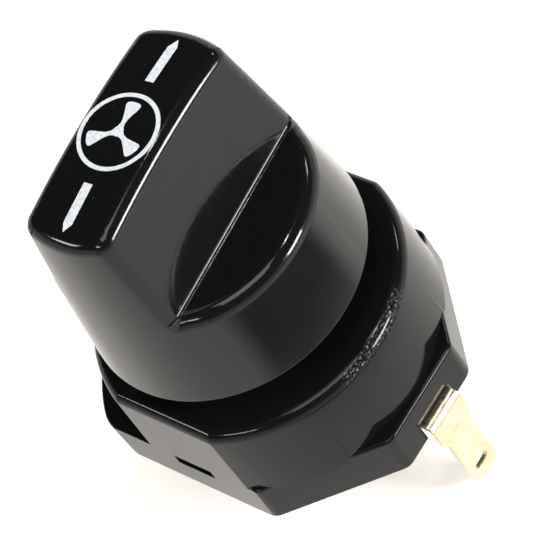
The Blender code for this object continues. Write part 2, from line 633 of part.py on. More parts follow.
def make_terminal(name, contact, offset, outer_face, facing, tinned):
    """One blade terminal: a strip under its contact, out through the wall and bent down."""
    reach = outer_face - abs(contact[0])
    shape = prism(blade_outline(reach), STRIP_TOP - STRIP, STRIP_TOP)
    bend = math.pi / 2 * (BEND_RADIUS - STRIP / 2)
    for step in range(9):
        at = reach - BEND_RADIUS + bend * step / 8
        everything = shape.verts[:] + shape.edges[:] + shape.faces[:]
        bmesh.ops.bisect_plane(shape, geom=everything, plane_co=(at, 0, 0), plane_no=(1, 0, 0), dist=1e-7)
    bend_down(shape, reach)
    place = Matrix.Translation((contact[0], offset, 0)) @ Matrix.Diagonal((facing, 1, 1, 1))
    terminal = put_in_scene(name, move(shape, place), tinned)
    cut(terminal, prism(circle(contact, CONTACT_SHANK + GAP, 20), STRIP_TOP - STRIP - LONG, STRIP_TOP + LONG))
    slot = arc((BLADE_HOLE, offset + BLADE_HOLE_SPREAD / 2), BLADE_HOLE_RADIUS, 0, 180, 8)
    slot += arc((BLADE_HOLE, offset - BLADE_HOLE_SPREAD / 2), BLADE_HOLE_RADIUS, 180, 360, 8)
    inner, outer = outer_face - STRIP - LONG, outer_face + LONG
    hole = prism(slot, inner, outer)
    cut(terminal, move(hole, Matrix(((0, 0, facing, 0), (0, 1, 0, 0), (1, 0, 0, 0), (0, 0, 0, 1)))))


def make_terminals(tinned):
    line, low, high = contact_places()
    make_terminal("terminal_line", line, FRONT_OFFSET, FRONT_BLADE, 1, tinned)
    make_terminal("terminal_low", low, BACK_SPACING, BACK_BLADE, -1, tinned)
    make_terminal("terminal_high", high, -BACK_SPACING, BACK_BLADE, -1, tinned)


def make_rear_cover(plastic):
    cover = put_in_scene("rear_cover", cavity_shape(GAP, COVER_BOTTOM, COVER_TOP), plastic)
    for x, y in contact_places():
        cut(cover, prism(circle((x, y), CONTACT_SHANK + GAP, 20), COVER_BOTTOM - LONG, COVER_TOP + LONG))
    for side in (-1, 1):
        back = CAVITY_FLAT - GAP
        reach = back + HOOK_REACH
        hook = [(back - HOOK_LEG, COVER_BOTTOM + GAP), (back, COVER_BOTTOM + GAP), (back, LATCH_BOTTOM + GAP),
                (reach, LATCH_BOTTOM + GAP), (reach, LATCH_BOTTOM + HOOK_NOSE),
                (back, LATCH_TOP - GAP), (back - HOOK_LEG, LATCH_TOP - GAP)]
        shape = prism([(side * y, z) for y, z in hook], LATCH_LEFT + GAP, LATCH_RIGHT - GAP)
        add(cover, move(shape, Matrix(((0, 0, 1, 0), (1, 0, 0, 0), (0, 1, 0, 0), (0, 0, 0, 1)))))


def main():
    clear_scene()
    gloss_black = make_material("gloss_black_plastic", (0.012, 0.012, 0.013), 0.22)
    rotor_plastic = make_material("natural_nylon", (0.62, 0.58, 0.48), 0.5)
    index_plastic = make_material("grey_acetal", (0.30, 0.31, 0.32), 0.45)
    cover_plastic = make_material("black_nylon", (0.02, 0.02, 0.02), 0.5)
    nickel_brass = make_material("nickel_plated_brass", (0.66, 0.62, 0.52), 0.3, 1.0)
    zinc_steel = make_material("zinc_plated_steel", (0.62, 0.63, 0.64), 0.35, 1.0)
    spring_steel = make_material("spring_steel", (0.45, 0.46, 0.48), 0.3, 1.0)
    tinned_brass = make_material("tinned_brass", (0.83, 0.74, 0.58), 0.35, 1.0)
    copper = make_material("copper", (0.75, 0.40, 0.26), 0.35, 1.0)
    silver = make_material("contact_silver", (0.85, 0.84, 0.80), 0.25, 1.0)
    rubber = make_material("nitrile_rubber", (0.02, 0.02, 0.02), 0.7)
    fibre = make_material("vulcanised_fibre", (0.35, 0.10, 0.06), 0.7)

    make_knob(gloss_black)
    make_knob_spring_clip(spring_steel)
    make_spindle(zinc_steel)
    make_circlip(spring_steel)
    make_bushing(nickel_brass)
    make_o_ring(rubber)
    make_lock_washer(zinc_steel)
    make_nut(nickel_brass)
    make_housing(gloss_black)
    make_index_ring(index_plastic)
    make_thrust_washer(fibre)
    make_rotor(rotor_plastic)
    make_detents(zinc_steel, spring_steel)
    make_contact_spring(spring_steel)
    make_contact_bridge(copper)
    make_contact_rivets(silver)
    make_terminals(tinned_brass)
    make_rear_cover(cover_plastic)


main()
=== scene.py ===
import math

import bmesh
import bpy
from mathutils import Matrix, Vector


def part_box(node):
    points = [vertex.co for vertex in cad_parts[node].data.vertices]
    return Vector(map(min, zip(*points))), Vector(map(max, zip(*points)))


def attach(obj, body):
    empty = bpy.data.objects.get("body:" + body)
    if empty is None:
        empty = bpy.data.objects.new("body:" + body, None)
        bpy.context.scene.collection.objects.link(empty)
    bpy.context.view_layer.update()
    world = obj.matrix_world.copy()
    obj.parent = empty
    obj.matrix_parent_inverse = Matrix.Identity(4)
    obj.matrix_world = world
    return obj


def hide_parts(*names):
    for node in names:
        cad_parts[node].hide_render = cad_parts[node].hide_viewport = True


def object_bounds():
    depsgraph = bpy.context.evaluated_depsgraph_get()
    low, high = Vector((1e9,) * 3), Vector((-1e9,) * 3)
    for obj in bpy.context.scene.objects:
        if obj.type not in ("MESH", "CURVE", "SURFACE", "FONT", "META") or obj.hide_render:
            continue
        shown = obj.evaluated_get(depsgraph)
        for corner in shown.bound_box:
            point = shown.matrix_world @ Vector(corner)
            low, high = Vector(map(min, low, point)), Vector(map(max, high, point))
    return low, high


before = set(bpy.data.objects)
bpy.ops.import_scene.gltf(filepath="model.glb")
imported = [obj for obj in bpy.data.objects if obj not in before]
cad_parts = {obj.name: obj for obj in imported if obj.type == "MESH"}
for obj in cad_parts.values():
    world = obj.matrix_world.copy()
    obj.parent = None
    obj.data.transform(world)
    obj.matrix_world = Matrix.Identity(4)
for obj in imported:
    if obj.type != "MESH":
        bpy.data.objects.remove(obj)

MM = 0.001
SAME_PLACE = 2e-6                   # points closer than this are one point
CUT_SLACK = 1e-6
HAIR = 0.006 * MM                   # keeps a tool just clear of a faceted wall
cad_low, cad_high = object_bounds()

# ---- places taken from the frame ----------------------------------------------------------------
knob_low, knob_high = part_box("knob")
housing_low, housing_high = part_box("housing_shell")
bushing_low, bushing_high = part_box("threaded_bushing")
washer_low, washer_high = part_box("lock_washer")
nut_low, nut_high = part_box("panel_nut")

# ---- knob ---------------------------------------------------------------------------------------
SKIRT_RADIUS = (knob_high.y - knob_low.y) / 2
KNOB_BOTTOM = knob_low.z
CROWN = knob_high.z
TAPER = 0.1118                      # how much the radius shrinks for each unit of height
SHOULDER_TOP = KNOB_BOTTOM + 15.4 * MM
GRIP_HALF_AT_SHOULDER = 9.0 * MM
GRIP_HALF_AT_CROWN = 6.5 * MM
GRIP_CORNER = 2.2 * MM
CROWN_FILLET = 1.6 * MM
RIM_FILLET = 2.0 * MM
BOSS_PROUD = 0.55 * MM              # how far the shoulders' wall stands out from the grip's ends
BOSS_PROUD_FROM = KNOB_BOTTOM + 7.8 * MM
SWELL_FROM = KNOB_BOTTOM + 3 * MM
SWELL_RUN = 3.5 * MM                # how quickly the wall reaches its full stand
SWELL_CREASE_HIGH = (10.7 * MM, 14.2 * MM)
SWELL_CREASE_FOOT = (8.4 * MM, 16.6 * MM)
CREASE_FILLET = 0.45 * MM
SKIRT_EDGE = 0.4 * MM
CROWN_ARCH = 115 * MM
KNOB_TURN = math.radians(4.2)
KNOB_WALL = 2.4 * MM
HUB_RADIUS = 6.0 * MM
HUB_BOTTOM = 10.4 * MM
HUB_CHAMFER = 0.4 * MM
HOLLOW_ROOF = 16.4 * MM
POCKET_NEAR, POCKET_FAR, POCKET_HALF, POCKET_BOTTOM = 7.2 * MM, 12.2 * MM, 4.1 * MM, 15.4 * MM
BORE_RADIUS, BORE_BOTTOM, BORE_TOP = 3.3 * MM, 9.4 * MM, 27 * MM
CLIP_SLOT_NEAR, CLIP_SLOT_FAR, CLIP_SLOT_HALF, CLIP_SLOT_TOP = 2.0 * MM, 3.9 * MM, 2.3 * MM, 23 * MM
RIB_START, RIB_HALF, RIB_BOTTOM, RIB_TOP, RIB_OVERLAP = 5.5 * MM, 0.6 * MM, 11.0 * MM, 16.9 * MM, 0.4 * MM
INK_PROUD = 0.02 * MM
INK_SUNK = 0.04 * MM
RING_OUTER = 5.54 * MM
RING_INNER = 4.97 * MM
HUB_DOT = 0.75 * MM
ARROW_HALF, ARROW_START, ARROW_NECK, ARROW_TIP = 0.66 * MM, 7.45 * MM, 13.0 * MM, 14.1 * MM
ARROW_BLUNT, ARROW_SLANT = 0.12 * MM, 0.1 * MM

# ---- housing ------------------------------------------------------------------------------------
STEP_TOP = housing_high.z
HOUSING_BOTTOM = housing_low.z
STEP_BOTTOM = STEP_TOP - 12.6 * MM
STEP_CENTRE = 0.4 * MM
STEP_RADIUS_TOP = 21.85 * MM
STEP_RADIUS_BOTTOM = 22.35 * MM
STEP_FILLET = 1.5 * MM
FLAT_AT_TOP = 20.4 * MM
FLAT_AT_BOTTOM = 20.85 * MM
FLANGE_ROUND = -housing_low.x
FLANGE_FRONT = housing_high.x
FLANGE_DIAGONAL = 22.0 * MM
FLANGE_CORNER = 2.2 * MM
FLANGE_BACK_CORNER = 6.0 * MM
FLANGE_EDGE = 0.45 * MM
CAVITY_RADIUS = 19.7 * MM
CAVITY_FLAT = 18.3 * MM
ROOF = 2.5 * MM
NECK_HOLE = 6.3 * MM
SLOT_HALF = 3.45 * MM
SLOT_ROOM = 0.3 * MM
SLOTS = ((15, 25, 0.5), (-28, -15, 7.0), (-28, -15, -7.0))      # from x, to x, at y, in millimetres
WINDOW_NEAR, WINDOW_FAR = 17.3 * MM, 22 * MM
WINDOW_LOW, WINDOW_HIGH = (-3.9 * MM, -14.6 * MM), (2.5 * MM, -12.7 * MM)

# ---- terminals ----------------------------------------------------------------------------------
STRIP = 0.8 * MM
STRIP_TOP = -16.9 * MM
BEND_RADIUS = 1.2 * MM
BLADE_WIDE = 6.3 * MM
BLADE_WIDTH = 4.9 * MM
BLADE_SHOULDER = -21.7 * MM
BLADE_HOLE = -30.5 * MM
BLADE_NOSE = 1.9 * MM
SHOULDER_BEFORE, SHOULDER_AFTER, SHOULDER_EASE, SHOULDER_RUN = 0.25 * MM, 0.05 * MM, 0.12 * MM, 0.9 * MM
HOLE_RADIUS, HOLE_HALF_LENGTH = 0.75 * MM, 0.55 * MM
RIVET_HOLE = 1.3 * MM
STRIP_EDGE = 0.07 * MM
CONTACT_CIRCLE = 9.9 * MM

# ---- metalwork at the neck ----------------------------------------------------------------------
THREAD, THREAD_PITCH, THREAD_DEPTH = 6.0 * MM, 1.0 * MM, 0.5 * MM
THREAD_FOOT, THREAD_HEAD = 0.8 * MM, 0.5 * MM                   # plain neck below and above it
BUSHING_BORE, SEAL_POCKET, SEAL_DEPTH = 3.3 * MM, 5.0 * MM, 2.05 * MM
BUSHING_FLANGE, BUSHING_FLANGE_THICK, BUSHING_CHAMFER = 9.5 * MM, 1.5 * MM, 0.3 * MM
NUT_ACROSS_FLATS, NUT_TURN = 17 * MM, 11
NUT_BORE, NUT_BORE_EDGE, NUT_BORE_CHAMFER = 6.3 * MM, 7.6 * MM, 0.4 * MM
NUT_FACE_INSET, NUT_CHAMFER_DROP, NUT_FACE_SKIM = 1.3 * MM, 0.9 * MM, 0.02 * MM
WASHER_HALF_THICK, WASHER_RADIUS, WASHER_EDGE = 0.26 * MM, 9.4 * MM, 0.05 * MM
TEETH, TOOTH_TIP, TOOTH_ROOT, TOOTH_TWIST = 14, 6.3 * MM, 7.5 * MM, 0.13 * MM
TWIST_FROM, TWIST_RUN = 7.6 * MM, 1.3 * MM

# ---- studio -------------------------------------------------------------------------------------
CAMERA_AT = (0.2456, -0.1061, 0.3209)
CAMERA_FORWARD, CAMERA_UP = (-0.5840, 0.2630, -0.7680), (-0.3021, 0.8077, 0.5063)
LENS, SENSOR = 220.4, 36
WALLS_TO, CEILING_FROM, WALL_LIGHT, CEILING_LIGHT = 0.12, 0.42, 1.0, 0.03
CARD_HALF = 0.12


# ---- making shapes ------------------------------------------------------------------------------
def as_object(name, shape):
    mesh = bpy.data.meshes.new(name)
    shape.to_mesh(mesh)
    shape.free()
    made = bpy.data.objects.new(name, mesh)
    bpy.context.scene.collection.objects.link(made)
    return made


def tidy(shape):
    bmesh.ops.remove_doubles(shape, verts=shape.verts, dist=SAME_PLACE)
    bmesh.ops.dissolve_degenerate(shape, edges=shape.edges, dist=CUT_SLACK)
    bmesh.ops.recalc_face_normals(shape, faces=shape.faces)
    if shape.calc_volume(signed=True) < 0:
        bmesh.ops.reverse_faces(shape, faces=shape.faces)
    return shape


def merge_flat(shape):
    """Make one face of neighbours that lie in one plane."""
    bmesh.ops.dissolve_limit(shape, angle_limit=math.radians(0.1), verts=shape.verts, edges=shape.edges)
    return tidy(shape)


def combined(shape, tool, operation):
    """The solid left when a tool is taken from, joined to or crossed with a shape."""
    first, second = as_object("shape", tidy(shape)), as_object("tool", tidy(tool))
    change = first.modifiers.new("change", "BOOLEAN")
    change.operation = operation
    change.solver = "EXACT"
    change.object = second
    result = bmesh.new()
    result.from_object(first, bpy.context.evaluated_depsgraph_get())
    for used in (first, second):
        mesh = used.data
        bpy.data.objects.remove(used)
        bpy.data.meshes.remove(mesh)
    return tidy(result)


def cut(shape, tool):
    return combined(shape, tool, "DIFFERENCE")


def join(shape, tool):
    return combined(shape, tool, "UNION")


def finished(name, shape, material, body, slot, *stands_for, crease=32):
    """Make a piece of a shape, smooth it, and let it ride on its body."""
    tidy(shape)
    piece = as_object(name, shape)
    piece.data.materials.append(material)
    piece.data.shade_smooth()
    piece.data.set_sharp_from_angle(angle=math.radians(crease))
    even = piece.modifiers.new("even_shading", "WEIGHTED_NORMAL")
    even.keep_sharp = True
    even.weight = 60
    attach(piece, body)
    if stands_for:
        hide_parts(*stands_for)
    return piece


def move(shape, matrix):
    bmesh.ops.transform(shape, matrix=matrix, verts=shape.verts)
    return shape


def lifted(shape, height):
    return move(shape, Matrix.Translation((0, 0, height)))


def cone(bottom_radius, top_radius, bottom, top, segments):
    shape = bmesh.new()
    bmesh.ops.create_cone(shape, cap_ends=True, segments=segments, radius1=bottom_radius,
                          radius2=top_radius, depth=top - bottom)
    return lifted(shape, (top + bottom) / 2)


def turned(profile, segments):
    """Revolve a closed (radius, height) outline about Z."""
    shape = bmesh.new()
    ring = [shape.verts.new((radius, 0, height)) for radius, height in profile]
    edges = []
    for before, after in zip(ring, ring[1:] + ring[:1]):
        if before.co.x > 0 or after.co.x > 0:
            edges.append(shape.edges.new((before, after)))
    bmesh.ops.spin(shape, geom=ring + edges, cent=(0, 0, 0), axis=(0, 0, 1), angle=math.tau,
                   steps=segments, use_merge=True)
    return tidy(shape)


def prism(outline, bottom, top):
    shape = bmesh.new()
    face = shape.faces.new([shape.verts.new((x, y, bottom)) for x, y in outline])
    raised = bmesh.ops.extrude_face_region(shape, geom=[face])["geom"]
    corners = [item for item in raised if isinstance(item, bmesh.types.BMVert)]
    bmesh.ops.translate(shape, verts=corners, vec=(0, 0, top - bottom))
    bmesh.ops.recalc_face_normals(shape, faces=shape.faces)
    return shape


def block(low, high):
    outline = [(low[0], low[1]), (high[0], low[1]), (high[0], high[1]), (low[0], high[1])]
    return prism(outline, low[2], high[2])


def arc(centre, radius, start, end, steps):
    """Points along an arc, angles in degrees."""
    angles = [math.radians(start + (end - start) * i / steps) for i in range(steps + 1)]
    return [(centre[0] + radius * math.cos(a), centre[1] + radius * math.sin(a)) for a in angles]


def circle(centre, radius, steps):
    return arc(centre, radius, 0, 360, steps)[:-1]


def bevel(shape, edges, width, segments):
    bmesh.ops.bevel(shape, geom=edges, offset=width, offset_type="OFFSET", segments=segments,
                    profile=0.5, affect="EDGES", material=-1, clamp_overlap=False)
    return shape


def edges_at(shape, height, sharper_than=20):
    """Sharp edges that lie at one height."""
    return [edge for edge in shape.edges
            if all(abs(vertex.co.z - height) < SAME_PLACE for vertex in edge.verts)
            and edge.is_manifold and edge.calc_face_angle(0) > math.radians(sharper_than)]


def weld_level(shape, height, closer_than=0.1 * MM):
    """Merge corners that lie almost on each other at one height."""
    level = [vertex for vertex in shape.verts if abs(vertex.co.z - height) < SAME_PLACE]
    bmesh.ops.remove_doubles(shape, verts=level, dist=closer_than)
    return shape


def bisected(shape, places, normal):
    """Slice a shape at several places without taking anything away."""
    for place in places:
        everything = shape.verts[:] + shape.edges[:] + shape.faces[:]
        bmesh.ops.bisect_plane(shape, geom=everything, plane_co=Vector(normal) * place,
                               plane_no=normal, dist=CUT_SLACK)
    return shape


def steps_between(low, high, count):
    return [low + (high - low) * i / count for i in range(count + 1)]


# ---- knob ---------------------------------------------------------------------------------------
def taper_at(height):
    """Radius of the knob's tapered wall at a height."""
    return SKIRT_RADIUS - TAPER * (height - KNOB_BOTTOM)


def grip_half(height):
    """Half the grip's thickness at a height, with a small cove where it meets the shoulders."""
    share = (height - SHOULDER_TOP) / (CROWN - SHOULDER_TOP)
    half = GRIP_HALF_AT_SHOULDER + (GRIP_HALF_AT_CROWN - GRIP_HALF_AT_SHOULDER) * share
    under = CREASE_FILLET - min(max(height - SHOULDER_TOP, 0), CREASE_FILLET)
    return half + CREASE_FILLET - math.sqrt(CREASE_FILLET ** 2 - under ** 2)


def grip_outline(height):
    """The grip's plan at a height: straight sides, round ends, rounded corners."""
    half, ends = grip_half(height), taper_at(height) + HAIR
    corner_x = half - GRIP_CORNER
    corner_y = math.sqrt((ends - GRIP_CORNER) ** 2 - corner_x ** 2)
    swing = math.degrees(math.atan2(corner_y, corner_x))
    outline = []
    for start, sign_x, sign_y in ((0, 1, 1), (180, -1, -1)):
        middle = (sign_x * corner_x, sign_y * corner_y)
        outline += arc(middle, GRIP_CORNER, start, start + swing, 10)
        outline += arc((0, 0), ends, start + swing, start + 180 - swing, 30)[1:-1]
        middle = (-sign_x * corner_x, sign_y * corner_y)
        outline += arc(middle, GRIP_CORNER, start + 180 - swing, start + 180, 10)
    return outline


def grip_bar():
    """The tapered bar that the sides of the knob are cut back to."""
    bar = bmesh.new()
    cove = [SHOULDER_TOP + CREASE_FILLET * (1 - math.cos(math.radians(angle)))
            for angle in (0, 25, 50, 70, 90)]
    levels = steps_between(BOSS_PROUD_FROM - 2 * MM, SHOULDER_TOP, 2)[:-1] + cove
    levels += steps_between(cove[-1], CROWN, 4)[1:] + [CROWN + 2 * MM]
    below = None
    for height in levels:
        ring = [bar.verts.new((x, y, height)) for x, y in grip_outline(height)]
        edges = [bar.edges.new(pair) for pair in zip(ring, ring[1:] + ring[:1])]
        if below:
            bmesh.ops.bridge_loops(bar, edges=below + edges)
        if height in (levels[0], levels[-1]):
            bar.faces.new(ring)
        below = edges
    return tidy(bar)


def shoulder_tool():
    """Everything above the shoulders, with a concave foot that rounds their rim."""
    lean = math.degrees(math.atan(TAPER))
    middle_z = SHOULDER_TOP - RIM_FILLET
    middle_r = taper_at(middle_z) - (RIM_FILLET - HAIR) / math.cos(math.radians(lean))
    foot = arc((middle_r, middle_z), RIM_FILLET, 90, lean, 8)
    above = CROWN + 5 * MM
    beyond = SKIRT_RADIUS + 3 * MM
    profile = [(0, SHOULDER_TOP)] + foot + [(beyond, foot[-1][1]), (beyond, above), (0, above)]
    return turned(profile, 160)


def knob_hollow():
    """The open underside, cut round its hub."""
    inside = SKIRT_RADIUS - KNOB_WALL
    below = KNOB_BOTTOM - 1 * MM
    profile = [(0, HUB_BOTTOM), (HUB_RADIUS - HUB_CHAMFER, HUB_BOTTOM),
               (HUB_RADIUS, HUB_BOTTOM + HUB_CHAMFER), (HUB_RADIUS, HOLLOW_ROOF),
               (inside - KNOB_WALL / 2, HOLLOW_ROOF), (inside, below), (0, below)]
    return turned(profile, 96)


def make_knob(plastic):
    knob = cone(SKIRT_RADIUS, taper_at(CROWN), KNOB_BOTTOM, CROWN, 192)
    knob = merge_flat(cut(knob, cut(shoulder_tool(), grip_bar())))
    weld_level(knob, CROWN)
    bevel(knob, edges_at(knob, CROWN), CROWN_FILLET, 7)
    bevel(knob, edges_at(knob, KNOB_BOTTOM), SKIRT_EDGE, 3)
    swell_boss(knob)
    arch_crown(knob)
    knob = cut(knob, knob_hollow())
    for side in (-1, 1):
        near, far = sorted((side * POCKET_NEAR, side * POCKET_FAR))
        pocket_top = CROWN - 2 * KNOB_WALL
        knob = cut(knob, block((-POCKET_HALF, near, POCKET_BOTTOM), (POCKET_HALF, far, pocket_top)))
    knob = cut(knob, prism(circle((0, 0), BORE_RADIUS, 48), BORE_BOTTOM, BORE_TOP))
    knob = cut(knob, block((CLIP_SLOT_NEAR, -CLIP_SLOT_HALF, BORE_BOTTOM),
                           (CLIP_SLOT_FAR, CLIP_SLOT_HALF, CLIP_SLOT_TOP)))
    rib_end = taper_at(RIB_BOTTOM + 1 * MM) - KNOB_WALL + RIB_OVERLAP
    for angle in (45, 135, 225, 315):
        rib = block((RIB_START, -RIB_HALF, RIB_BOTTOM), (rib_end, RIB_HALF, RIB_TOP))
        knob = join(knob, move(rib, Matrix.Rotation(math.radians(angle), 4, "Z")))
    move(knob, Matrix.Rotation(KNOB_TURN, 4, "Z"))
    finished("knob_moulding", knob, plastic, "turning", "gloss_black", "knob")


def swell_boss(knob):
    """Let the wall under each shoulder stand out from the grip's ends, from a slanting crease on."""
    creases = []
    for sign_x, sign_y in ((-1, -1), (-1, 1), (1, -1), (1, 1)):
        high = Vector((sign_x * SWELL_CREASE_HIGH[0], sign_y * SWELL_CREASE_HIGH[1], SHOULDER_TOP))
        foot = Vector((sign_x * SWELL_CREASE_FOOT[0], sign_y * SWELL_CREASE_FOOT[1], BOSS_PROUD_FROM))
        across = (high - foot).cross(Vector((sign_x, sign_y, 0)))
        across = across.normalized() * math.copysign(1, across.x * sign_x)
        everything = knob.verts[:] + knob.edges[:] + knob.faces[:]
        bmesh.ops.bisect_plane(knob, geom=everything, plane_co=foot, plane_no=across, dist=CUT_SLACK)
        creases.append((sign_x, foot, across))
    for vertex in knob.verts:
        x, y, z = vertex.co
        radius = math.hypot(x, y)
        if z > SHOULDER_TOP + CUT_SLACK or radius < taper_at(SHOULDER_TOP) - 2 * RIM_FILLET:
            continue
        beyond = min((vertex.co - foot).dot(across) for side, foot, across in creases
                     if side * x > 0 or x == 0)
        if beyond > 0:
            height = max(0.0, min(1.0, (z - SWELL_FROM) / (SHOULDER_TOP - RIM_FILLET - SWELL_FROM)))
            vertex.co.xy *= 1 + BOSS_PROUD * height * (1 - math.exp(-beyond / SWELL_RUN)) / radius


def crown_height(y):
    return CROWN - CROWN_ARCH + math.sqrt(CROWN_ARCH ** 2 - y ** 2)


def arch_crown(knob):
    """Let the crown drop along an arc towards both ends of the grip."""
    reach = taper_at(CROWN) + 0.2 * MM
    bisected(knob, steps_between(-reach, reach, 24), (0, 1, 0))
    for vertex in knob.verts:
        above = vertex.co.z - SHOULDER_TOP
        if above > 0:
            share = (crown_height(vertex.co.y) - SHOULDER_TOP) / (CROWN - SHOULDER_TOP)
            vertex.co.z = SHOULDER_TOP + above * share


# ---- print on the crown -------------------------------------------------------------------------
def lay_on_crown(name, film, ink):
    """Bend a thin flat film of ink onto the arched crown."""
    bisected(film, steps_between(-15 * MM, 15 * MM, 60), (0, 1, 0))
    for vertex in film.verts:
        vertex.co.z += crown_height(vertex.co.y)
    move(film, Matrix.Rotation(KNOB_TURN, 4, "Z"))
    finished(name, film, ink, "turning", None)


def fan_blade(angle):
    """One paddle: a narrow neck that flares to a blunt tip."""
    half = [(0.1, 0.62), (0.55, 0.45), (1.15, 0.30), (1.7, 0.34), (2.5, 0.62), (3.3, 0.93), (3.75, 1.08),
            (4.05, 1.0), (4.2, 0.72), (4.27, 0.3)]
    outline = [(y * MM, x * MM) for x, y in half] + [(-y * MM, x * MM) for x, y in reversed(half)]
    turn = Matrix.Rotation(math.radians(angle - 90), 2)
    return [tuple(turn @ Vector(point)) for point in outline]


def make_print(ink):
    low, high = -INK_SUNK, INK_PROUD
    ring = [(RING_OUTER, low), (RING_OUTER, high), (RING_INNER, high), (RING_INNER, low)]
    lay_on_crown("print_ring", turned(ring, 128), ink)
    for number, angle in enumerate((90, 210, 330), start=1):
        lay_on_crown(f"print_blade_{number}", prism(fan_blade(angle), low, high), ink)
    lay_on_crown("print_hub", prism(circle((0, 0), HUB_DOT, 24), low, high * 1.5), ink)
    arrow = [(-ARROW_HALF, ARROW_START), (ARROW_HALF, ARROW_START), (ARROW_HALF, ARROW_NECK),
             (ARROW_BLUNT, ARROW_TIP), (-ARROW_HALF, ARROW_NECK - ARROW_SLANT)]
    lay_on_crown("print_arrow_1", prism(arrow, low, high), ink)
    lay_on_crown("print_arrow_2", prism([(-x, -y) for x, y in arrow], low, high), ink)


# ---- housing ------------------------------------------------------------------------------------
def rounded_corner(first, second, radius, steps=8):
    """Arc between two straight walls, each (angle in degrees, distance from the axis)."""
    (angle_1, distance_1), (angle_2, distance_2) = first, second
    walls = Matrix([[math.cos(math.radians(a)), math.sin(math.radians(a))] for a in (angle_1, angle_2)])
    middle = walls.inverted() @ Vector((distance_1 - radius, distance_2 - radius))
    return arc(middle, radius, angle_1, angle_2, steps)


def flange_outline():
    flat = FLAT_AT_BOTTOM
    inner_y = flat - FLANGE_BACK_CORNER
    inner_x = -math.sqrt((FLANGE_ROUND - FLANGE_BACK_CORNER) ** 2 - inner_y ** 2)
    swing = math.degrees(math.atan2(inner_y, inner_x))
    walls = [(-90, flat), (-45, FLANGE_DIAGONAL), (0, FLANGE_FRONT), (45, FLANGE_DIAGONAL), (90, flat)]
    outline = []
    for first, second in zip(walls, walls[1:]):
        outline += rounded_corner(first, second, FLANGE_CORNER)
    outline += arc((inner_x, inner_y), FLANGE_BACK_CORNER, 90, swing, 10)
    outline += arc((0, 0), FLANGE_ROUND, swing, 360 - swing, 60)[1:-1]
    outline += arc((inner_x, -inner_y), FLANGE_BACK_CORNER, 360 - swing, 270, 10)
    return outline


def trim_flats(housing):
    """Cut both sides back to gently drafted flats and close the cuts."""
    draft = (FLAT_AT_BOTTOM - FLAT_AT_TOP) / (STEP_TOP - HOUSING_BOTTOM)
    for side in (-1, 1):
        outward = Vector((0, side, draft)).normalized()
        everything = housing.verts[:] + housing.edges[:] + housing.faces[:]
        section = bmesh.ops.bisect_plane(housing, geom=everything, clear_outer=True, dist=CUT_SLACK,
                                         plane_co=(0, side * FLAT_AT_TOP, STEP_TOP), plane_no=outward)
        rim = [item for item in section["geom_cut"] if isinstance(item, bmesh.types.BMEdge)]
        bmesh.ops.contextual_create(housing, geom=rim)
        tidy(housing)
    return housing


def make_housing(plastic):
    flange = prism(flange_outline(), HOUSING_BOTTOM, STEP_BOTTOM)
    bevel(flange, edges_at(flange, STEP_BOTTOM) + edges_at(flange, HOUSING_BOTTOM), FLANGE_EDGE, 3)
    step = cone(STEP_RADIUS_BOTTOM, STEP_RADIUS_TOP, STEP_BOTTOM - 1 * MM, STEP_TOP, 180)
    move(step, Matrix.Translation((STEP_CENTRE, 0, 0)))
    housing = trim_flats(join(flange, step))
    bevel(housing, edges_at(housing, STEP_TOP), STEP_FILLET, 6)

    below = HOUSING_BOTTOM - 1 * MM
    housing = cut(housing, prism(cavity_outline(CAVITY_RADIUS, CAVITY_FLAT), below, STEP_TOP - ROOF))
    housing = cut(housing, prism(circle((0, 0), NECK_HOLE, 64), STEP_TOP - 4 * MM, STEP_TOP + 1 * MM))
    for start, end, middle in SLOTS:
        low = (start * MM, middle * MM - SLOT_HALF, below)
        high = (end * MM, middle * MM + SLOT_HALF, STRIP_TOP + SLOT_ROOM)
        housing = cut(housing, block(low, high))
    for side in (-1, 1):
        near, far = sorted((side * WINDOW_NEAR, side * WINDOW_FAR))
        window = block((WINDOW_LOW[0], near, WINDOW_LOW[1]), (WINDOW_HIGH[0], far, WINDOW_HIGH[1]))
        housing = cut(housing, window)
    finished("housing_moulding", housing, plastic, "housing", "gloss_black", "housing_shell")


def cavity_outline(radius, flat):
    swing = math.degrees(math.asin(flat / radius))
    return arc((0, 0), radius, -swing, swing, 40) + arc((0, 0), radius, 180 - swing, 180 + swing, 40)


# ---- terminals ----------------------------------------------------------------------------------
def blade_outline(reach):
    """Flat pattern of a terminal: run along +X, width along Y."""
    half, slim, nose = BLADE_WIDE / 2, BLADE_WIDTH / 2, BLADE_NOSE
    drop = reach - BEND_RADIUS + math.pi / 2 * (BEND_RADIUS - STRIP / 2) + STRIP_TOP - BEND_RADIUS
    shoulder, tip = drop - BLADE_SHOULDER, drop - cad_low.z
    right = [(shoulder - SHOULDER_BEFORE, half), (shoulder + SHOULDER_AFTER, half - SHOULDER_EASE),
             (shoulder + SHOULDER_RUN, slim)]
    right += arc((tip - nose, slim - nose), nose, 90, 0, 10)
    left = [(x, -y) for x, y in reversed(right)]
    return right + left + arc((0, 0), half, 270, 90, 20), drop - BLADE_HOLE


def bend_down(shape, reach):
    """Fold the flat pattern down over the bend; its top becomes the blade's outer face."""
    flat_run = reach - BEND_RADIUS
    middle = BEND_RADIUS - STRIP / 2
    length = math.pi / 2 * middle
    for vertex in shape.verts:
        run, _, height = vertex.co
        if run <= flat_run:
            continue
        turn = min((run - flat_run) / middle, math.pi / 2)
        arm = BEND_RADIUS + (height - STRIP_TOP)
        vertex.co.x = flat_run + arm * math.sin(turn)
        vertex.co.z = STRIP_TOP - BEND_RADIUS + arm * math.cos(turn) - max(run - flat_run - length, 0)


